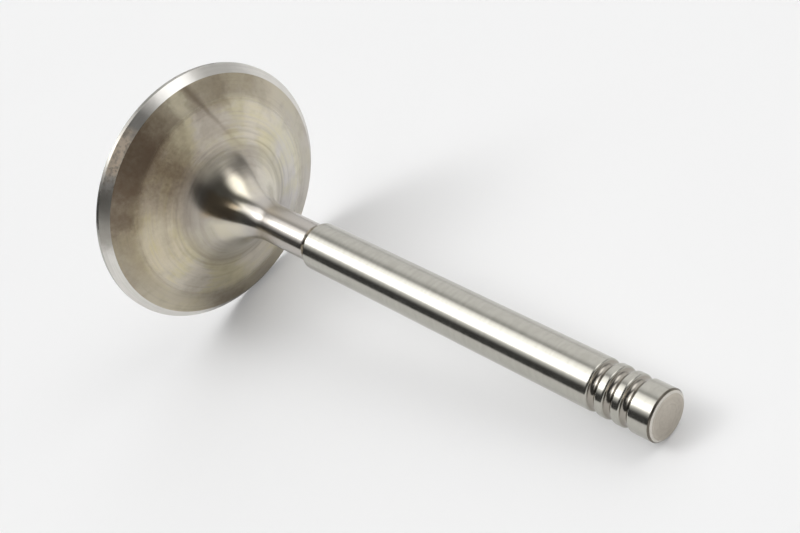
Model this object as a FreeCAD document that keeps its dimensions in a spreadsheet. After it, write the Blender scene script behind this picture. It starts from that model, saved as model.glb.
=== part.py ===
import FreeCAD, Part
import math
import os

import Sketcher

# Engine poppet valve, turned and ground from one forging of steel.
# It stands on its head: the combustion face lies on Z = 0 with its centre at the origin,
# and the stem runs up along +Z to the tip. Lengths are millimetres and angles degrees.

SIZES = {
    # head, from the combustion face up to the neck
    "head_dia": 46.5,
    "face_chamfer": 0.3,
    "margin_height": 1.0,
    "seat_angle": 45,
    "seat_width": 1.92,
    "rim_band_width": 4.1,
    "rim_band_angle": 24,
    "underside_angle": 21.5,
    "neck_fillet": 13.1,
    "neck_relief": 0.75,
    # stem, from the shoulder up to the tip
    "shoulder_height": 30.3,
    "shoulder_angle": 45,
    "shoulder_foot_round": 0.4,
    "shoulder_lip_round": 0.15,
    "stem_dia": 8,
    "overall_length": 100.3,
    "tip_chamfer": 0.4,
    # keeper grooves, counted from the tip down
    "groove_radius": 0.7,
    "groove_pitch": 2.8,
    "groove_count": 3,
    "tip_to_groove": 4.6,
    "groove_lip_chamfer": 0.1,
}

# a sketch's names for a line's or circle's points, and for its own origin
START, END, CENTRE = 1, 2, 3
ORIGIN = (-1, START)
UPWARDS = FreeCAD.Vector(0, 0, 1)
NEAR = 1e-4
VOLUME_SLACK = 0.01


def make_sheet(doc):
    """The driving dimensions, one named cell each."""
    sheet = doc.addObject("Spreadsheet::Sheet", "Sizes")
    for row, (alias, value) in enumerate(SIZES.items(), start=1):
        sheet.set(f"A{row}", alias)
        sheet.set(f"B{row}", str(value))
        sheet.setAlias(f"B{row}", alias)
    doc.recompute()


def outline_points():
    """Where the corners of the half section lie, as radius and height."""
    size = dict(SIZES)
    for name in ("seat_angle", "rim_band_angle", "underside_angle", "shoulder_angle"):
        size[name] = math.radians(size[name])
    head, stem = size["head_dia"] / 2, size["stem_dia"] / 2
    neck = stem - size["neck_relief"]
    seat_radius = head - size["seat_width"] * math.cos(size["seat_angle"])
    seat_height = size["margin_height"] + size["seat_width"] * math.sin(size["seat_angle"])
    band_radius = seat_radius - size["rim_band_width"]
    band_height = seat_height + size["rim_band_width"] * math.tan(size["rim_band_angle"])
    # the neck fillet is tangent to the underside cone and to the neck
    fillet = size["neck_fillet"]
    cone_radius = neck + fillet * (1 - math.sin(size["underside_angle"]))
    cone_height = band_height + (band_radius - cone_radius) * math.tan(size["underside_angle"])
    fillet_height = cone_height + fillet * math.cos(size["underside_angle"])
    shoulder_foot = size["shoulder_height"] - size["neck_relief"] * math.tan(size["shoulder_angle"])
    corners = {
        "face_centre": (0, 0),
        "face_rim": (head, 0),
        "margin_top": (head, size["margin_height"]),
        "seat_top": (seat_radius, seat_height),
        "band_top": (band_radius, band_height),
        "cone_top": (cone_radius, cone_height),
        "fillet_top": (neck, fillet_height),
        "fillet_centre": (neck + fillet, fillet_height),
        "neck_top": (neck, shoulder_foot),
        "stem_foot": (stem, size["shoulder_height"]),
        "stem_top": (stem, size["overall_length"]),
        "tip_centre": (0, size["overall_length"]),
    }
    return {name: FreeCAD.Vector(radius, height, 0) for name, (radius, height) in corners.items()}


def origin_feature(body, role):
    """One of the body's own origin planes or axes."""
    return next(feature for feature in body.Origin.OriginFeatures if feature.Role == role)


def new_sketch(body, name):
    """A sketch on the body's XZ plane, where X is the radius and Y the height."""
    sketch = body.newObject("Sketcher::SketchObject", name)
    sketch.AttachmentSupport = [(origin_feature(body, "XZ_Plane"), "")]
    sketch.MapMode = "FlatFace"
    sketch.Visibility = False
    return sketch


def hold(sketch, kind, *where):
    """A constraint without a size."""
    sketch.addConstraint(Sketcher.Constraint(kind, *where))


def bind(sketch, name, expression, kind, *where):
    """A named size that follows the sheet; the last of `where` is its starting value."""
    index = sketch.addConstraint(Sketcher.Constraint(kind, *where))
    sketch.renameConstraint(index, name)
    sketch.setExpression(f"Constraints.{name}", expression)


def bind_across(sketch, name, expression, first, second):
    """The radial distance from one point of the sketch to another."""
    distance = sketch.getPoint(*second).x - sketch.getPoint(*first).x
    bind(sketch, name, expression, "DistanceX", *first, *second, distance)


def bind_up(sketch, name, expression, first, second):
    """The height from one point of the sketch to another."""
    distance = sketch.getPoint(*second).y - sketch.getPoint(*first).y
    bind(sketch, name, expression, "DistanceY", *first, *second, distance)


def draw_half_section(body):
    """The valve's outline from the combustion face, round the rim and up to the tip."""
    at = outline_points()
    sketch = new_sketch(body, "half_section")

    def line(start, end):
        return sketch.addGeometry(Part.LineSegment(at[start], at[end]), False)

    face = line("face_centre", "face_rim")
    margin = line("face_rim", "margin_top")
    seat = line("margin_top", "seat_top")
    band = line("seat_top", "band_top")
    cone = line("band_top", "cone_top")
    neck = line("fillet_top", "neck_top")
    shoulder = line("neck_top", "stem_foot")
    stem = line("stem_foot", "stem_top")
    tip = line("stem_top", "tip_centre")
    axis = line("tip_centre", "face_centre")
    # the fillet's arc runs anticlockwise, from the neck down to the cone
    round_corner = Part.Circle(at["fillet_centre"], UPWARDS, SIZES["neck_fillet"])
    cone_end = 1.5 * math.pi - math.radians(SIZES["underside_angle"])
    fillet = sketch.addGeometry(Part.ArcOfCircle(round_corner, math.pi, cone_end), False)

    for first, second in ((face, margin), (margin, seat), (seat, band), (band, cone),
                          (neck, shoulder), (shoulder, stem), (stem, tip), (tip, axis)):
        hold(sketch, "Coincident", first, END, second, START)
    hold(sketch, "Coincident", face, START, *ORIGIN)
    hold(sketch, "Coincident", axis, END, *ORIGIN)
    hold(sketch, "Tangent", cone, END, fillet, END)
    hold(sketch, "Tangent", fillet, START, neck, START)
    for level in (face, tip):
        hold(sketch, "Horizontal", level)
    for upright in (margin, neck, stem, axis):
        hold(sketch, "Vertical", upright)

    bind_across(sketch, "head_radius", "Sizes.head_dia / 2", ORIGIN, (face, END))
    bind_up(sketch, "margin", "Sizes.margin_height", (margin, START), (margin, END))
    bind_across(sketch, "seat_run", "Sizes.seat_width * cos(Sizes.seat_angle)",
                (seat, END), (seat, START))
    bind_up(sketch, "seat_rise", "Sizes.seat_width * sin(Sizes.seat_angle)",
            (seat, START), (seat, END))
    bind_across(sketch, "band_run", "Sizes.rim_band_width", (band, END), (band, START))
    bind_up(sketch, "band_rise", "Sizes.rim_band_width * tan(Sizes.rim_band_angle)",
            (band, START), (band, END))
    bind(sketch, "cone_slope", "180 - Sizes.underside_angle",
         "Angle", cone, math.radians(180 - SIZES["underside_angle"]))
    bind(sketch, "fillet", "Sizes.neck_fillet", "Radius", fillet, SIZES["neck_fillet"])
    bind_across(sketch, "neck_radius", "Sizes.stem_dia / 2 - Sizes.neck_relief",
                ORIGIN, (neck, END))
    bind_up(sketch, "shoulder_rise", "Sizes.neck_relief * tan(Sizes.shoulder_angle)",
            (shoulder, START), (shoulder, END))
    bind_up(sketch, "shoulder_top", "Sizes.shoulder_height", ORIGIN, (stem, START))
    bind_across(sketch, "stem_radius", "Sizes.stem_dia / 2", ORIGIN, (stem, START))
    bind_up(sketch, "tip_top", "Sizes.overall_length", ORIGIN, (stem, END))
    return sketch


def draw_groove_section(body):
    """The round keeper groove nearest the tip, a circle centred on the stem's surface."""
    sketch = new_sketch(body, "groove_section")
    centre = FreeCAD.Vector(SIZES["stem_dia"] / 2, groove_heights()[0], 0)
    circle = Part.Circle(centre, UPWARDS, SIZES["groove_radius"])
    ring = sketch.addGeometry(circle, False)
    bind(sketch, "ring_radius", "Sizes.groove_radius", "Radius", ring, SIZES["groove_radius"])
    bind_across(sketch, "ring_reach", "Sizes.stem_dia / 2", ORIGIN, (ring, CENTRE))
    bind_up(sketch, "ring_height", "Sizes.overall_length - Sizes.tip_to_groove",
            ORIGIN, (ring, CENTRE))
    return sketch


def groove_heights():
    """Heights of the keeper grooves' centres, from the tip down."""
    first = SIZES["overall_length"] - SIZES["tip_to_groove"]
    return [first - number * SIZES["groove_pitch"] for number in range(SIZES["groove_count"])]


def turn_blank(body):
    """The half section turned once round the stem's axis."""
    sketch = draw_half_section(body)
    blank = body.newObject("PartDesign::Revolution", "turned_blank")
    blank.Profile = sketch
    blank.ReferenceAxis = (sketch, ["V_Axis"])
    blank.Angle = 360
    body.Document.recompute()
    return blank


def cut_grooves(body):
    """One keeper groove and its copies down the stem, each cut checked by its volume."""
    doc = body.Document
    before = body.Shape.Volume
    sketch = draw_groove_section(body)
    groove = body.newObject("PartDesign::Groove", "keeper_groove")
    groove.Profile = sketch
    groove.ReferenceAxis = (sketch, ["V_Axis"])
    groove.Angle = 360
    doc.recompute()
    one_cut = before - body.Shape.Volume

    row = body.newObject("PartDesign::LinearPattern", "keeper_grooves")
    row.Originals = [groove]
    row.Direction = (origin_feature(body, "Z_Axis"), [""])
    row.Reversed = True
    row.Mode = "Spacing"
    row.setExpression("Offset", "Sizes.groove_pitch")
    row.setExpression("Occurrences", "Sizes.groove_count")
    body.Tip = row
    doc.recompute()
    all_cuts = before - body.Shape.Volume
    if one_cut <= 0 or abs(all_cuts - one_cut * SIZES["groove_count"]) > VOLUME_SLACK:
        raise ValueError(f"the keeper grooves cut {all_cuts} mm3, one alone {one_cut} mm3")
    return row


def round_edge(base, corner):
    """Name of the base's round edge through this corner of the half section."""
    for number, edge in enumerate(base.Shape.Edges, start=1):
        curve = edge.Curve
        if not isinstance(curve, Part.Circle):
            continue
        if abs(curve.Radius - corner.x) < NEAR and abs(curve.Center.z - corner.y) < NEAR:
            return f"Edge{number}"
    raise ValueError(f"no round edge at radius {corner.x} and height {corner.y}")


def dress_edges(body, base, kind, size_name, corners):
    """A fillet or chamfer on the round edges through these corners."""
    feature = body.newObject(f"PartDesign::{kind}", size_name)
    feature.Base = (base, [round_edge(base, corner) for corner in corners])
    feature.setExpression("Size" if kind == "Chamfer" else "Radius", f"Sizes.{size_name}")
    body.Document.recompute()
    return feature


def finish_edges(body, base):
    """The ground chamfers and the small rounds left by the tools."""
    at = outline_points()
    groove_lips = [FreeCAD.Vector(SIZES["stem_dia"] / 2, height + side * SIZES["groove_radius"], 0)
                   for height in groove_heights() for side in (-1, 1)]
    for kind, size_name, corners in (
        ("Chamfer", "face_chamfer", [at["face_rim"]]),
        ("Chamfer", "tip_chamfer", [at["stem_top"]]),
        ("Fillet", "shoulder_foot_round", [at["neck_top"]]),
        ("Fillet", "shoulder_lip_round", [at["stem_foot"]]),
        ("Chamfer", "groove_lip_chamfer", groove_lips),
    ):
        base = dress_edges(body, base, kind, size_name, corners)


def check(doc, bodies):
    """Stops the build if any feature failed or a body is not one valid solid."""
    for feature in doc.Objects:
        if {"Invalid", "Error"} & set(feature.State):
            raise ValueError(f"{feature.Name} failed: {feature.State}")
    for body in bodies:
        shape = body.Shape
        if shape.isNull() or not shape.isValid() or len(shape.Solids) != 1:
            raise ValueError(f"{body.Label} is not one valid solid")


def main():
    doc = FreeCAD.newDocument("engine_valve")
    make_sheet(doc)
    valve = doc.addObject("PartDesign::Body", "Valve")
    valve.Label = "valve"
    turn_blank(valve)
    grooved = cut_grooves(valve)
    finish_edges(valve, grooved)
    doc.recompute()
    check(doc, [valve])

    os.makedirs("parts", exist_ok=True)
    valve.Shape.exportStep(f"parts/{valve.Label}.step")
    box = valve.Shape.BoundBox
    print(f"valve: {valve.Shape.Volume:.1f} mm3, {box.XLength:.2f} mm across, {box.ZLength:.2f} mm long")


main()
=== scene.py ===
"""An engine's poppet valve, lying on a white table in soft studio light. Lengths are in metres."""

import math

import bmesh
import bpy
from mathutils import Matrix, Quaternion, Vector


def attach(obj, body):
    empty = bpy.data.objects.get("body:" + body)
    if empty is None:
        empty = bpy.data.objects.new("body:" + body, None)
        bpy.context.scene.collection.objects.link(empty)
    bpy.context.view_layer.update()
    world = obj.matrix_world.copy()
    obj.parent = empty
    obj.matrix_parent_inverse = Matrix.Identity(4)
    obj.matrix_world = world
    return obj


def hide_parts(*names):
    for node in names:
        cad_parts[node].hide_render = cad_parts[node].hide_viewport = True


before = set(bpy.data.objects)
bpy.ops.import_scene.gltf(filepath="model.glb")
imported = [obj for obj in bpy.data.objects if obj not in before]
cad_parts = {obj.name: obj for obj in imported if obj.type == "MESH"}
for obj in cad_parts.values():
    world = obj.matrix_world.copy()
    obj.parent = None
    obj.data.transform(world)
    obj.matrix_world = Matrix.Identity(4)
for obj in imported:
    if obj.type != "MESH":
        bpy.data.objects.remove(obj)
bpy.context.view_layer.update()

MM = 0.001

# The turned outline, from the combustion face up to the tip. Each pair is a radius and a height
HEAD_RADIUS = 23.25 * MM
FACE_CHAMFER = 0.3 * MM
MARGIN_HEIGHT = 1.0 * MM
SEAT_TOP = (21.892 * MM, 2.358 * MM)
BAND_TOP = (17.792 * MM, 4.183 * MM)
CONE_TOP = (11.549 * MM, 6.642 * MM)
NECK_RADIUS = 3.25 * MM
FILLET_TOP_HEIGHT = 18.831 * MM
FILLET_RADIUS = 13.1 * MM
SHOULDER_FOOT_HEIGHT = 29.55 * MM
SHOULDER_HEIGHT = 30.3 * MM
STEM_RADIUS = 4.0 * MM
OVERALL_LENGTH = 100.3 * MM
TIP_CHAMFER = 0.4 * MM
GROOVE_RADIUS = 0.7 * MM
GROOVE_HEIGHTS = (90.1 * MM, 92.9 * MM, 95.7 * MM)

# Broken edges
FINE_BREAK = 0.06 * MM
SEAT_BREAK = 0.1 * MM
BAND_BREAK = 1.2 * MM
FOOT_ROUND = 1.6 * MM
LIP_ROUND = 0.3 * MM
GROOVE_LIP_ROUND = 0.34 * MM
TIP_ROUND = 0.15 * MM

# The tip's edge is broken in two steps: how far in from the stem's side and below the tip's face they
# meet, and how far in the second one ends
TIP_STEP_IN = TIP_CHAMFER * 0.6
TIP_STEP_DOWN = TIP_CHAMFER * 0.4
TIP_EDGE_IN = TIP_CHAMFER * 1.4

# How finely it is drawn: the steps in each arc, the gap from a straight's end to the point that keeps its
# shading flat, how near two points count as one, what counts as on the axis, and the steps round it
ROUND_STEPS = 5
FILLET_STEPS = 48
GROOVE_STEPS = 14
SUPPORT_GAP = 0.06 * MM
SAME_POINT = 0.003 * MM
ON_AXIS = 0.000001 * MM
AROUND = 360

# How the valve lies: its rim and the edge of its tip touch the table on this side of its axis
LYING_SIDE = math.radians(64.4)
TABLE_SIZE = 4.0

# The camera
CAMERA_PLACE = Vector((0, -177.68, 194.65)) * MM
CAMERA_AIM = Vector((-2.615, -0.038, 47.285)) * MM
CAMERA_ROLL = math.radians(115.63)
CAMERA_LENS = 66.62
CAMERA_NEAR = 10 * MM


class Value:
    """One socket in a node tree. Arithmetic on it adds the Math nodes that work the result out."""

    def __init__(self, tree, socket):
        self.tree = tree
        self.socket = socket

    def __add__(self, other):
        return self.tree.math("ADD", self, other)

    def __radd__(self, other):
        return self.tree.math("ADD", other, self)

    def __sub__(self, other):
        return self.tree.math("SUBTRACT", self, other)

    def __rsub__(self, other):
        return self.tree.math("SUBTRACT", other, self)

    def __mul__(self, other):
        return self.tree.math("MULTIPLY", self, other)

    def __rmul__(self, other):
        return self.tree.math("MULTIPLY", other, self)

    def __truediv__(self, other):
        return self.tree.math("DIVIDE", self, other)

    def __rtruediv__(self, other):
        return self.tree.math("DIVIDE", other, self)

    def __gt__(self, other):
        return self.tree.math("GREATER_THAN", self, other)

    def __abs__(self):
        return self.tree.math("ABSOLUTE", self)


class Tree:
    """The node tree of a material or of the world, emptied and ready to be filled."""

    def __init__(self, owner):
        owner.use_nodes = True
        self.nodes = owner.node_tree.nodes
        self.links = owner.node_tree.links
        self.nodes.clear()

    def node(self, kind, settings=None, inputs=None, output=0):
        """Adds a node of that kind and gives one of its outputs."""
        made = self.nodes.new(kind)
        for name, setting in (settings or {}).items():
            setattr(made, name, setting)
        for name, wanted in (inputs or {}).items():
            if isinstance(wanted, Value):
                self.links.new(wanted.socket, made.inputs[name])
            else:
                made.inputs[name].default_value = wanted
        return Value(self, made.outputs[output]) if made.outputs else None

    def math(self, operation, *values):
        return self.node("ShaderNodeMath", {"operation": operation}, dict(enumerate(values)))

    def vector(self, operation, *values, output=0):
        settings = {"operation": operation}
        return self.node("ShaderNodeVectorMath", settings, dict(enumerate(values)), output)

    def dot(self, vector, direction):
        return self.vector("DOT_PRODUCT", vector, tuple(direction), output="Value")

    def step(self, value, start, end):
        """0 before start and 1 after end, smooth between them. Start may be the larger."""
        return self.node("ShaderNodeMapRange", {"interpolation_type": "SMOOTHSTEP"}, {
            "Value": value,
            "From Min": start,
            "From Max": end,
        })

    def mix(self, share, first, second):
        return self.node("ShaderNodeMix", {"data_type": "RGBA"}, {0: share, 6: first, 7: second}, 2)

    def noise(self, place, scale, detail, roughness=0.5):
        return self.node("ShaderNodeTexNoise", None, {
            "Vector": place,
            "Scale": scale,
            "Detail": detail,
            "Roughness": roughness,
        })

    def rings(self, place, scale):
        """Noise along one line, so that a lathe's marks run right round."""
        return self.node("ShaderNodeTexNoise", {"noise_dimensions": "1D"}, {"W": place, "Scale": scale})

    def mix_shader(self, share, first, second):
        return self.node("ShaderNodeMixShader", None, {0: share, 1: first, 2: second})


def grey(level):
    return (level, level, level, 1.0)


# The outline


def arc(centre, radius, start, end, steps):
    """Points on an arc, from one angle to the other, in the plane of radius and height."""
    turns = [start + (end - start) * step / steps for step in range(steps + 1)]
    return [(centre[0] + radius * math.cos(turn), centre[1] + radius * math.sin(turn)) for turn in turns]


def rounded(before, corner, after, radius):
    """The points that take the place of a sharp corner, tangent to both of its sides."""
    corner = Vector(corner)
    back = (Vector(before) - corner).normalized()
    ahead = (Vector(after) - corner).normalized()
    half = back.angle(ahead) / 2
    centre = corner + (back + ahead).normalized() * radius / math.sin(half)
    first = corner + back * radius / math.tan(half) - centre
    last = corner + ahead * radius / math.tan(half) - centre
    sweep = first.angle(last)
    swing = math.copysign(sweep, first.x * last.y - first.y * last.x)
    start = math.atan2(first.y, first.x)
    return arc(centre, radius, start, start + swing, ROUND_STEPS)


class Outline:
    """Half of the valve's section: its points, and the finish of the stretch after each."""

    def __init__(self):
        self.points = []
        self.finishes = []

    def add(self, points, finish):
        for point in points:
            self.points.append((point[0], point[1]))
            self.finishes.append(finish)

    def straight(self, points, finish):
        """A straight stretch, with a point close to each end that keeps its shading flat."""
        start, end = (Vector(point) for point in points)
        along = (end - start).normalized() * SUPPORT_GAP
        self.add([start, start + along, end - along, end], finish)


def head_outline(outline):
    """From the middle of the combustion face round the rim and up to the neck."""
    centre = (0.0, 0.0)
    face_edge = (HEAD_RADIUS - FACE_CHAMFER, 0.0)
    rim = (HEAD_RADIUS, FACE_CHAMFER)
    margin_top = (HEAD_RADIUS, MARGIN_HEIGHT)
    lower = rounded(centre, face_edge, rim, FINE_BREAK)
    upper = rounded(face_edge, rim, margin_top, FINE_BREAK)
    top = rounded(rim, margin_top, SEAT_TOP, FINE_BREAK)
    seat_edge = rounded(margin_top, SEAT_TOP, BAND_TOP, SEAT_BREAK)
    band_edge = rounded(SEAT_TOP, BAND_TOP, CONE_TOP, BAND_BREAK)
    outline.straight([centre, lower[0]], "combustion_face")
    outline.add(lower, "margin")
    outline.straight([lower[-1], upper[0]], "margin")
    outline.add(upper, "margin")
    outline.straight([upper[-1], top[0]], "margin")
    outline.add(top, "seat")
    outline.straight([top[-1], seat_edge[0]], "seat")
    outline.add(seat_edge, "underside")
    outline.straight([seat_edge[-1], band_edge[0]], "underside")
    outline.add(band_edge, "underside")
    outline.straight([band_edge[-1], CONE_TOP], "underside")
    cone_slope = math.atan2(CONE_TOP[1] - BAND_TOP[1], BAND_TOP[0] - CONE_TOP[0])
    middle = (NECK_RADIUS + FILLET_RADIUS, FILLET_TOP_HEIGHT)
    fillet = arc(middle, FILLET_RADIUS, -math.pi / 2 - cone_slope, -math.pi, FILLET_STEPS)
    outline.add(fillet, "underside")


def groove_outline(outline, height):
    """A round groove whose lips are rounded too, each tangent to the stem and to the groove."""
    reach = math.sqrt(GROOVE_RADIUS ** 2 + 2 * GROOVE_RADIUS * GROOVE_LIP_ROUND)
    lean = math.atan2(reach, GROOVE_LIP_ROUND)
    lip = STEM_RADIUS - GROOVE_LIP_ROUND
    hollow = arc((STEM_RADIUS, height), GROOVE_RADIUS, lean - math.pi, -lean - math.pi, GROOVE_STEPS)
    outline.add([(STEM_RADIUS, height - reach - SUPPORT_GAP)], "stem")
    outline.add(arc((lip, height - reach), GROOVE_LIP_ROUND, 0.0, lean, ROUND_STEPS), "stem")
    outline.add(hollow, "stem")
    outline.add(arc((lip, height + reach), GROOVE_LIP_ROUND, -lean, 0.0, ROUND_STEPS), "stem")
    outline.add([(STEM_RADIUS, height + reach + SUPPORT_GAP)], "stem")


def stem_outline(outline):
    """From the foot of the neck up the stem, through its grooves, to the middle of the tip."""
    neck_foot = (NECK_RADIUS, FILLET_TOP_HEIGHT)
    shoulder_foot = (NECK_RADIUS, SHOULDER_FOOT_HEIGHT)
    shoulder = (STEM_RADIUS, SHOULDER_HEIGHT)
    tip_side = (STEM_RADIUS, OVERALL_LENGTH - TIP_CHAMFER)
    tip_step = (STEM_RADIUS - TIP_STEP_IN, OVERALL_LENGTH - TIP_STEP_DOWN)
    tip_edge = (STEM_RADIUS - TIP_EDGE_IN, OVERALL_LENGTH)
    tip_centre = (0.0, OVERALL_LENGTH)
    foot = rounded(neck_foot, shoulder_foot, shoulder, FOOT_ROUND)
    lip = rounded(shoulder_foot, shoulder, tip_side, LIP_ROUND)
    outline.straight([neck_foot, foot[0]], "underside")
    outline.add(foot, "underside")
    outline.straight([foot[-1], lip[0]], "underside")
    outline.add(lip, "stem")
    outline.add([(STEM_RADIUS, lip[-1][1] + SUPPORT_GAP)], "stem")
    for height in GROOVE_HEIGHTS:
        groove_outline(outline, height)
    tip_corner = rounded(shoulder, tip_side, tip_step, TIP_ROUND)
    tip_round = rounded(tip_side, tip_step, tip_edge, TIP_ROUND)
    tip_break = rounded(tip_step, tip_edge, tip_centre, FINE_BREAK)
    outline.add([(STEM_RADIUS, tip_corner[0][1] - SUPPORT_GAP)], "stem")
    outline.add(tip_corner, "tip_corner")
    outline.straight([tip_corner[-1], tip_round[0]], "tip_corner")
    outline.add(tip_round, "tip_edge")
    outline.straight([tip_round[-1], tip_break[0]], "tip_edge")
    outline.add(tip_break, "tip_edge")
    outline.straight([tip_break[-1], tip_centre], "tip_face")


def without_doubles(outline):
    """The outline's points and finishes, less each point that lies on the one before it."""
    kept = []
    stretches = []
    for point, finish in zip(outline.points, outline.finishes):
        if kept and (Vector(point) - Vector(kept[-1])).length < SAME_POINT:
            stretches[-1] = finish
            continue
        kept.append(point)
        stretches.append(finish)
    return kept, stretches


def turned_ring(body, radius, height):
    """The points of one turn about the axis, or the single point where the outline meets it."""
    if radius < ON_AXIS:
        return [body.verts.new((0.0, 0.0, height))]
    ring = []
    for step in range(AROUND):
        angle = 2 * math.pi * step / AROUND
        ring.append(body.verts.new((radius * math.cos(angle), radius * math.sin(angle), height)))
    return ring


def turned_body(name, outline, finishes):
    """Turns the outline about the axis into one closed mesh, with each stretch in its own finish."""
    slots = {finish: number for number, finish in enumerate(finishes)}
    body = bmesh.new()
    points, stretches = without_doubles(outline)
    rings = [turned_ring(body, radius, height) for radius, height in points]
    for lower, upper, finish in zip(rings, rings[1:], stretches):
        for step in range(AROUND):
            after = (step + 1) % AROUND
            if len(lower) == 1:
                corners = [lower[0], upper[after], upper[step]]
            elif len(upper) == 1:
                corners = [lower[step], lower[after], upper[0]]
            else:
                corners = [lower[step], lower[after], upper[after], upper[step]]
            face = body.faces.new(corners)
            face.material_index = slots[finish]
            face.smooth = True
    mesh = bpy.data.meshes.new(name)
    body.to_mesh(mesh)
    body.free()
    for finish in finishes.values():
        mesh.materials.append(finish)
    piece = bpy.data.objects.new(name, mesh)
    bpy.context.scene.collection.objects.link(piece)
    return piece


# The finishes

# How ragged the edge of a stain is: round the valve in degrees, and along its outline in millimetres
RAGGED_DEGREES = 16.0
RAGGED_TRAVEL = 2.0


class Lathe:
    """Where a point is as a turner sees it, in millimetres: how far out, how far up, on which side.

    Travel, the height less the radius, grows all the way along the outline from the rim to the tip.
    """

    def __init__(self, tree):
        self.tree = tree
        place = tree.node("ShaderNodeTexCoord", output="Object")
        self.place = tree.vector("MULTIPLY", place, (1 / MM, 1 / MM, 1 / MM))
        flat = tree.vector("MULTIPLY", self.place, (1.0, 1.0, 0.0))
        self.radius = tree.vector("LENGTH", flat, output="Value")
        self.side = tree.vector("NORMALIZE", flat)
        self.height = tree.node("ShaderNodeSeparateXYZ", None, {"Vector": self.place}, "Z")
        self.travel = self.height - self.radius
        self.ragged = tree.noise(self.place, 0.45, 4.0, 0.6) - 0.5

    def degrees_from(self, turn):
        """How many degrees round the valve a point is from one of its sides."""
        turn = math.radians(turn)
        nearness = self.tree.dot(self.side, (math.cos(turn), math.sin(turn), 0.0))
        return self.tree.math("ARCCOSINE", nearness) * math.degrees(1.0)

    def fan(self, turn, inner, outer):
        """1 within inner degrees of one side of the valve, and 0 beyond outer degrees."""
        return self.tree.step(self.degrees_from(turn) + self.ragged * RAGGED_DEGREES, outer, inner)

    def stretch(self, low, high, soft):
        """1 along a stretch of the outline, with ragged ends."""
        travel = self.travel + self.ragged * RAGGED_TRAVEL
        above = self.tree.step(travel, low - soft, low + soft)
        below = self.tree.step(travel, high + soft, high - soft)
        return above * below

    def ring(self, travel, width):
        """1 on one ring of the outline, fading to 0 at width from it."""
        return self.tree.step(abs(self.travel - travel), width, 0.0)

    def streaks(self, around, along, detail):
        """Noise drawn out round the axis where around is the smaller, and along the outline otherwise."""
        lift = self.tree.node("ShaderNodeCombineXYZ", None, {"Z": self.travel * along})
        place = self.tree.vector("MULTIPLY_ADD", self.side, (around, around, around), lift)
        return self.tree.noise(place, 1.0, detail)


def uneven(noise):
    """Lets stains and painted patches come and go a little, about 1 on average."""
    return 0.7 + noise * 0.6


def finish_steel(tree, colour, roughness, anisotropy, height, depth):
    """Metal whose tool marks run round the axis, so that its gloss is drawn out across them."""
    bump = tree.node("ShaderNodeBump", None, {"Strength": 0.5, "Distance": depth, "Height": height})
    shader = tree.node("ShaderNodeBsdfPrincipled", None, {
        "Base Color": colour,
        "Metallic": 1.0,
        "Roughness": roughness,
        "Anisotropic": anisotropy,
        "Anisotropic Rotation": 0.25,
        "Normal": bump,
    })
    tree.node("ShaderNodeOutputMaterial", None, {"Surface": shader})


# What counts as inside a keeper groove, in millimetres: each pair is where that begins and where it is
# full. Then the darker colour painted in there as shade
GROOVED_RADIUS = (3.9, 3.7)
GROOVED_ABOVE = (88.0, 89.0)
GROOVED_BELOW = (97.5, 97.0)
PAINTED_GROOVE_SHADE = (0.36, 0.335, 0.295, 1)

# Where the seat is pitted: the side, how far the pits are full and where they end, in degrees. Then how
# much duller it is there, and the colour of the dirt in the pits
PITTED = (276, 9, 20)
PITTED_DULLER = 0.13
GRIME = (0.26, 0.21, 0.16, 1)


def steel(name, light, dark, roughness, anisotropy, marks, mark_depth, wear=0.06, around=3.0, flecks=0.0,
          painted_patches=()):
    """Turned or ground steel with fine rings, a slight cloudiness, painted shade in the grooves and any
    painted patches.
    """
    material = bpy.data.materials.new(name)
    tree = Tree(material)
    lathe = Lathe(tree)
    rings = tree.rings(lathe.travel, marks)
    brushed = lathe.streaks(around, marks * 0.8, 3.0)
    cloud = tree.noise(lathe.place, 0.35, 3.0, 0.55)
    hollow = tree.step(lathe.radius, *GROOVED_RADIUS)
    hollow = hollow * tree.step(lathe.height, *GROOVED_ABOVE) * tree.step(lathe.height, *GROOVED_BELOW)
    clean = tree.step(cloud * 0.35 + brushed * 0.4 + rings * 0.25, 0.38, 0.6)
    colour = tree.mix(clean, dark, light)
    # Painted shade: the grooves are darkened in colour
    colour = tree.mix(hollow, colour, PAINTED_GROOVE_SHADE)
    # Painted patches of highlight and shade
    for turn, full, end, tint, strength in painted_patches:
        painted_patch = lathe.fan(turn, full, end) * strength
        colour = tree.mix(painted_patch * uneven(cloud), colour, tint)
    if flecks:
        pitted = lathe.fan(*PITTED)
        grime = tree.step(tree.noise(lathe.place, 1.1, 4.0, 0.65), 0.42, 0.68) * pitted
        colour = tree.mix(grime * flecks, colour, GRIME)
        roughness = roughness + pitted * PITTED_DULLER
    gloss = roughness + (cloud - 0.5) * wear + (brushed - 0.5) * wear
    finish_steel(tree, colour, gloss, anisotropy, rings * 0.5 + brushed * 0.5, mark_depth)
    return material
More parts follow.
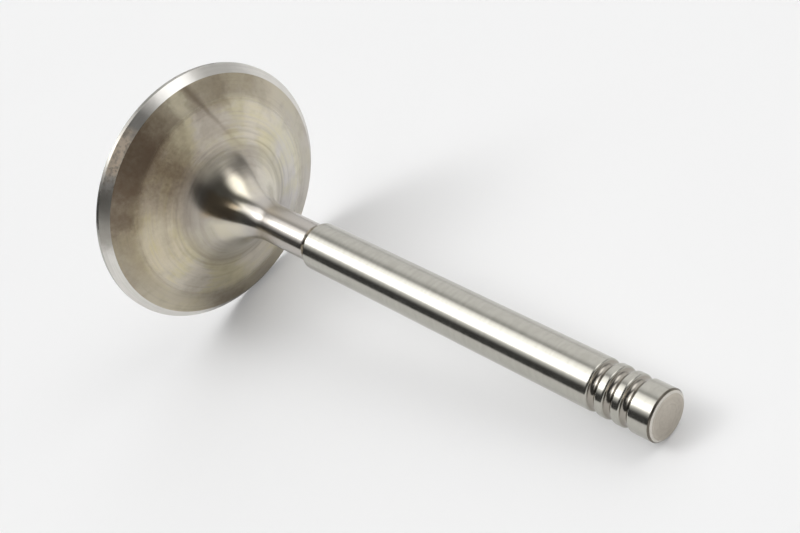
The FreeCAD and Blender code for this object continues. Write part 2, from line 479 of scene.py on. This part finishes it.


# Darker patches on the underside, partly heat tint and soot and partly painted shade where the metal shows
# dark
# reflections: the side in degrees, how far the tint is full and where it ends, in degrees, the travel at
# which it begins and ends, in millimetres, how soft those ends are, and how strong the tint is
SOOT_AND_PAINTED_SHADE = (
    (274, 12, 26, -22.0, -13.6, 1.2, 0.82),
    (282, 18, 42, -22.0, -13.0, 1.6, 0.42),
    (308, 14, 58, -22.0, -14.0, 1.8, 0.42),
    (256, 11, 18, -21.0, -13.4, 1.4, 0.50),
    (222, 9, 16, -20.0, -12.0, 1.2, 0.36),
    (204, 8, 30, -22.0, -14.4, 1.6, 0.42),
    (50, 14, 40, -22.0, -13.5, 2.4, 0.42),
    (24, 8, 34, -16.0, 2.0, 3.0, 0.24),
    (269, 1, 10, -15.0, 2.0, 1.5, 0.42),
    (273, 6, 44, -15.0, 2.0, 1.5, 0.74),
    (270, 34, 84, -14.0, 3.0, 2.0, 0.25),
    (216, 8, 26, -15.0, -5.0, 2.0, 0.16),
    (322, 20, 50, -2.6, 3.0, 1.2, 0.44),
    (36, 24, 70, -5.0, 2.5, 1.5, 0.26),
    (296, 14, 30, -4.0, 3.0, 1.2, 0.45),
    (196, 12, 30, -2.6, 1.5, 1.2, 0.5),
    (208, 12, 26, -1.5, 5.0, 1.5, 0.62),
    (234, 5, 20, 0.5, 3.0, 1.2, 0.6),
    (262, 34, 62, 3.5, 9.5, 1.5, 0.28),
    (302, 5, 16, -2.5, 9.0, 1.2, 0.55),
    (8, 8, 24, -1.0, 9.0, 1.5, 0.36),
    (252, 1, 8, -19.6, -15.5, 1.0, 0.34),
    (277, 2, 9, -19.6, -16.0, 1.0, 0.40),
    (301, 2, 10, -20.0, -14.5, 1.0, 0.55),
    (42, 3, 14, -20.0, -16.5, 1.0, 0.38),
)

# The rings that the turning tool cut into the underside: their travel, their width and how strong they are
TOOL_RINGS = (
    (-4.9, 0.5, 1.0),
    (-3.1, 0.7, 0.8),
    (-13.6, 0.4, 0.5),
)

# A painted dark line straight across the underside, at the edge of a reflection: the direction square to
# it, how far it runs from the axis in millimetres, and its fan
REFLECTION_EDGE_ACROSS = Vector((math.cos(math.radians(-18.2)), math.sin(math.radians(-18.2)), 0.0))
REFLECTION_EDGE_OFFSET = -7.6
REFLECTION_EDGE_FAN = (216, 22, 32)


def painted_reflection_edge(tree, lathe):
    """How strong the painted dark line at a reflection's edge is: wider and darker towards the rim."""
    across = abs(tree.dot(lathe.place, REFLECTION_EDGE_ACROSS) - REFLECTION_EDGE_OFFSET + lathe.ragged * 0.5)
    half_width = 0.65 + tree.step(lathe.travel, -12.5, -18.0) * 0.8
    edge_line = tree.step(across / half_width, 1.0, 0.0) * lathe.fan(*REFLECTION_EDGE_FAN)
    return edge_line * (0.16 + tree.step(lathe.travel, -5.0, -18.0) * 0.5)


def turned_underside():
    """The side of the head that the gas flows past: turned, tinted by heat, bare towards the neck, with
    painted shade and painted reflections.
    """
    material = bpy.data.materials.new("turned_underside_steel")
    tree = Tree(material)
    lathe = Lathe(tree)
    straw = (0.66, 0.605, 0.42, 1)
    clean = (0.67, 0.62, 0.53, 1)
    dull = (0.50, 0.45, 0.345, 1)
    bright = (0.59, 0.555, 0.49, 1)
    painted_warm_reflection = (0.42, 0.29, 0.14, 1)
    neck = (0.49, 0.462, 0.425, 1)
    soot_and_shade = (0.13, 0.093, 0.064, 1)
    bluish = (0.965, 0.995, 1.12, 1)
    yellowish = (1.02, 0.99, 0.89, 1)

    # Where each mark and tint is
    rings = tree.rings(lathe.travel, 1.4)
    brushed = lathe.streaks(1.3, 1.7, 3.0)
    cloud = tree.noise(lathe.place, 0.13, 3.0)
    speckle = tree.noise(lathe.place, 1.3, 3.0, 0.6)
    outer_band = tree.step(lathe.travel, -12.0, -15.0)
    towards_neck = tree.step(lathe.travel, -7.0, 1.0)
    patchy = tree.step(cloud + (brushed - 0.5) * 0.3, 0.4, 0.62)
    stains = tree.step(tree.noise(lathe.place, 0.3, 3.0, 0.6), 0.48, 0.66)
    arcs = tree.step(lathe.streaks(1.1, 0.8, 4.0), 0.44, 0.64) * lathe.stretch(-9.0, 3.0, 3.0)
    cool = lathe.fan(128, 24, 56) * lathe.stretch(-22.0, -2.0, 3.0)
    warm = lathe.fan(304, 26, 56) * lathe.stretch(-17.0, -3.0, 3.0)
    reflection_pool = lathe.fan(286, 12, 24) * lathe.stretch(1.0, 9.0, 1.5)
    tool_rings = 0.0
    for travel, width, strength in TOOL_RINGS:
        tool_rings = tool_rings + lathe.ring(travel, width) * strength

    # The colour, from the bare metal to the last stain, painted shade and painted reflection on it
    colour = tree.mix(patchy, straw, clean)
    colour = tree.mix(outer_band * 0.7, colour, dull)
    shade = tree.mix(warm, tree.mix(cool, grey(1.0), bluish), yellowish)
    colour = tree.vector("MULTIPLY", colour, shade)
    # Soot and heat tint, and painted shade where the metal shows dark reflections
    for turn, full, end, low, high, soft, strength in SOOT_AND_PAINTED_SHADE:
        tint = lathe.fan(turn, full, end) * lathe.stretch(low, high, soft) * strength
        colour = tree.mix(tint * uneven(speckle), colour, soot_and_shade)
    # Painted reflection: the dark straight line at a reflection's edge
    colour = tree.mix(painted_reflection_edge(tree, lathe), colour, soot_and_shade)
    colour = tree.mix(tool_rings * 0.2 + lathe.ring(-2.6, 2.6) * 0.2, colour, soot_and_shade)
    colour = tree.mix(tree.step(brushed, 0.48, 0.75) * 0.12 + stains * 0.12, colour, soot_and_shade)
    colour = tree.mix(towards_neck * 0.6, colour, bright)
    # Painted reflection: the dark pool beside the neck is given a warm brown
    colour = tree.mix(reflection_pool * 0.55, colour, painted_warm_reflection)
    colour = tree.mix(tree.step(lathe.travel, 9.0, 13.0), colour, neck)
    colour = tree.mix(arcs * 0.16, colour, soot_and_shade)

    height = rings * 0.2 + brushed * 0.2 - tool_rings * 0.5 + speckle * outer_band * 0.15
    gloss = 0.2 + (cloud - 0.5) * 0.06 + outer_band * 0.1 + (brushed - 0.5) * 0.06
    finish_steel(tree, colour, gloss, 0.6, height, 0.02 * MM)
    return material


# Painted reflections on the seat, the lighter as painted highlights and the darker as painted shade: the
# side, how far each is full and where it ends, in degrees, its colour and strength
SEAT_PAINTED_REFLECTIONS = (
    (235, 8, 19, (0.87, 0.85, 0.81, 1), 0.9),
    (254, 4, 14, (0.46, 0.44, 0.40, 1), 0.5),
    (60, 16, 34, (0.07, 0.06, 0.042, 1), 0.95),
    (112, 12, 44, (0.38, 0.36, 0.32, 1), 0.9),
    (214, 5, 16, (0.55, 0.53, 0.49, 1), 0.6),
    (273, 6, 15, (0.92, 0.78, 0.62, 1), 0.85),
    (301, 8, 20, (0.28, 0.26, 0.225, 1), 0.75),
)

FINISHES = {
    "combustion_face": steel(
        "faced_steel", light=(0.51, 0.49, 0.455, 1), dark=(0.42, 0.40, 0.37, 1),
        roughness=0.3, anisotropy=0.8, marks=1.6, mark_depth=0.02 * MM, around=0.9),
    "margin": steel(
        "margin_steel", light=(0.50, 0.485, 0.45, 1), dark=(0.45, 0.435, 0.40, 1),
        roughness=0.28, anisotropy=0.5, marks=3.0, mark_depth=0.01 * MM),
    "seat": steel(
        "ground_seat_steel", light=(0.75, 0.73, 0.69, 1), dark=(0.66, 0.64, 0.60, 1),
        roughness=0.34, anisotropy=0.6, marks=3.0, mark_depth=0.01 * MM,
        wear=0.16, flecks=0.55, painted_patches=SEAT_PAINTED_REFLECTIONS),
    "underside": turned_underside(),
    "stem": steel(
        "ground_stem_steel", light=(0.48, 0.467, 0.42, 1), dark=(0.435, 0.422, 0.377, 1),
        roughness=0.2, anisotropy=0.75, marks=1.5, mark_depth=0.006 * MM, wear=0.1),
    # Painted shade: the tip's corner is darkened in colour for the dark line that its rounding shows
    "tip_corner": steel(
        "tip_corner_painted_shade_steel", light=(0.20, 0.18, 0.15, 1), dark=(0.15, 0.135, 0.11, 1),
        roughness=0.3, anisotropy=0.5, marks=3.0, mark_depth=0.006 * MM),
    # Painted highlight: the tip's edge is lighter in colour than its face, for the light ring that it shows
    "tip_edge": steel(
        "tip_edge_painted_highlight_steel", light=(0.63, 0.60, 0.545, 1), dark=(0.57, 0.54, 0.485, 1),
        roughness=0.24, anisotropy=0.5, marks=3.0, mark_depth=0.006 * MM),
    "tip_face": steel(
        "ground_tip_steel", light=(0.60, 0.555, 0.485, 1), dark=(0.53, 0.485, 0.42, 1),
        roughness=0.42, anisotropy=0.5, marks=3.0, mark_depth=0.01 * MM),
}

outline = Outline()
head_outline(outline)
stem_outline(outline)
valve = turned_body("poppet_valve", outline, FINISHES)
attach(valve, "root")
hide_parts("valve")


# The table

side = Vector((math.cos(LYING_SIDE), math.sin(LYING_SIDE), 0.0))
lean = math.atan2(HEAD_RADIUS - STEM_RADIUS, OVERALL_LENGTH - TIP_CHAMFER - MARGIN_HEIGHT)
table_up = -(side * math.cos(lean) + Vector((0, 0, 1)) * math.sin(lean))
table_along = Vector((0, 0, 1)) * math.cos(lean) - side * math.sin(lean)
table_across = table_up.cross(table_along)

# How much of plain white the camera and the metal see in the card, which still keeps the shadow
CARD_GLOW = 0.21


def table_material():
    """White card, which can't be seen from below."""
    material = bpy.data.materials.new("white_card")
    tree = Tree(material)
    grain = tree.noise(tree.node("ShaderNodeTexCoord", output="Object"), 9.0, 3.0)
    card = tree.node("ShaderNodeBsdfDiffuse", None, {"Color": tree.mix(grain, grey(0.92), grey(0.95))})
    clear = tree.node("ShaderNodeBsdfTransparent")
    below = tree.node("ShaderNodeNewGeometry", output="Backfacing")
    glow = tree.node("ShaderNodeEmission", None, {"Color": grey(1.0), "Strength": 1.0})
    camera_ray = tree.node("ShaderNodeLightPath", output="Is Camera Ray")
    glossy_ray = tree.node("ShaderNodeLightPath", output="Is Glossy Ray")
    seen = tree.math("MAXIMUM", camera_ray, glossy_ray) * CARD_GLOW
    surface = tree.mix_shader(below, tree.mix_shader(seen, card, glow), clear)
    tree.node("ShaderNodeOutputMaterial", None, {"Surface": surface})
    return material


def make_table():
    body = bmesh.new()
    bmesh.ops.create_grid(body, x_segments=1, y_segments=1, size=TABLE_SIZE / 2)
    mesh = bpy.data.meshes.new("table")
    body.to_mesh(mesh)
    body.free()
    mesh.materials.append(table_material())
    table = bpy.data.objects.new("table", mesh)
    touching = side * HEAD_RADIUS + Vector((0, 0, MARGIN_HEIGHT))
    turned = Matrix((table_along, table_across, table_up)).transposed()
    table.matrix_world = Matrix.Translation(touching) @ turned.to_4x4()
    bpy.context.scene.collection.objects.link(table)
    return table


make_table()


# The studio

# Soft-edged fields of light: degrees round from the stem's direction and degrees above the table, width,
# height and tilt in degrees, how soft the edge is as a share of the distance, and the strength
LIGHT_FIELDS = (
    (-144, 53, 52, 39, -18, 0.18, 1.1),
    (-140, 51, 23, 19, 0, 0.09, 4.5),
    (-136, 75, 47, 26, 6, 0.07, 1.22),
    (-92, 62, 26, 24, 10, 0.04, 0.54),
    (47, 49, 30, 40, 6, 0.2, 2.0),
    (-67, 50, 15, 17, -24, 0.03, 1.2),
    (26, 6, 58, 36, 0, 0.3, 0.5),
    (108, 33, 75, 71, -13, 0.46, 0.95),
)

# The rest of the studio: the light from below the table's level, from overhead and all over. Each pair is
# the sine of the rise at which that light begins and at which it is full
UNDER_RISE = (-0.02, -0.06)
UNDER_LIGHT = 0.75
OVERHEAD_RISE = (0.8, 0.95)
OVERHEAD_LIGHT = 0.06
EVEN_LIGHT = 0.07
BACKDROP = grey(0.9)


def studio_direction(turn, rise):
    """A direction in the studio: degrees round from the stem's, and degrees above the table."""
    turn = math.radians(turn)
    rise = math.radians(rise)
    level = table_along * math.cos(turn) + table_across * math.sin(turn)
    return level * math.cos(rise) + table_up * math.sin(rise)


def light_field(tree, direction, turn, rise, width, tall, tilt, edge):
    """1 inside a rectangle of the surroundings and 0 outside. Its size and place are in degrees."""
    middle = studio_direction(turn, rise)
    tilted = Quaternion(middle, math.radians(tilt))
    sideways = tilted @ middle.cross(table_up).normalized()
    upwards = sideways.cross(middle)
    depth = tree.dot(direction, middle)
    reach = tree.math("MAXIMUM", depth, 0.001)
    across = abs(tree.dot(direction, sideways)) / reach
    up = abs(tree.dot(direction, upwards)) / reach
    half_width = math.tan(math.radians(width / 2))
    half_tall = math.tan(math.radians(tall / 2))
    inside = tree.step(across, half_width + edge, half_width - edge)
    inside = inside * tree.step(up, half_tall + edge, half_tall - edge)
    return inside * (depth > 0.0)


def make_studio():
    world = bpy.data.worlds.new("studio")
    bpy.context.scene.world = world
    tree = Tree(world)
    direction = tree.node("ShaderNodeTexCoord", output="Generated")
    climb = tree.dot(direction, table_up)
    under = tree.step(climb, *UNDER_RISE) * UNDER_LIGHT
    overhead = tree.step(climb, *OVERHEAD_RISE) * OVERHEAD_LIGHT
    light = under + overhead + EVEN_LIGHT
    for turn, rise, width, tall, tilt, edge, level in LIGHT_FIELDS:
        light = light + light_field(tree, direction, turn, rise, width, tall, tilt, edge) * level
    lit = tree.node("ShaderNodeBackground", None, {"Color": grey(1.0), "Strength": light})
    seen = tree.node("ShaderNodeBackground", None, {"Color": BACKDROP, "Strength": 1.0})
    camera_ray = tree.node("ShaderNodeLightPath", output="Is Camera Ray")
    tree.node("ShaderNodeOutputWorld", None, {"Surface": tree.mix_shader(camera_ray, lit, seen)})


make_studio()


def make_camera():
    data = bpy.data.cameras.new("camera")
    data.lens = CAMERA_LENS
    data.clip_start = CAMERA_NEAR
    camera = bpy.data.objects.new("camera", data)
    camera.location = CAMERA_PLACE
    camera.rotation_mode = "QUATERNION"
    looking = (CAMERA_AIM - CAMERA_PLACE).to_track_quat("-Z", "Y")
    camera.rotation_quaternion = looking @ Quaternion((0, 0, 1), CAMERA_ROLL)
    bpy.context.scene.collection.objects.link(camera)
    bpy.context.scene.camera = camera


make_camera()
bpy.context.scene.view_settings.view_transform = "Standard"
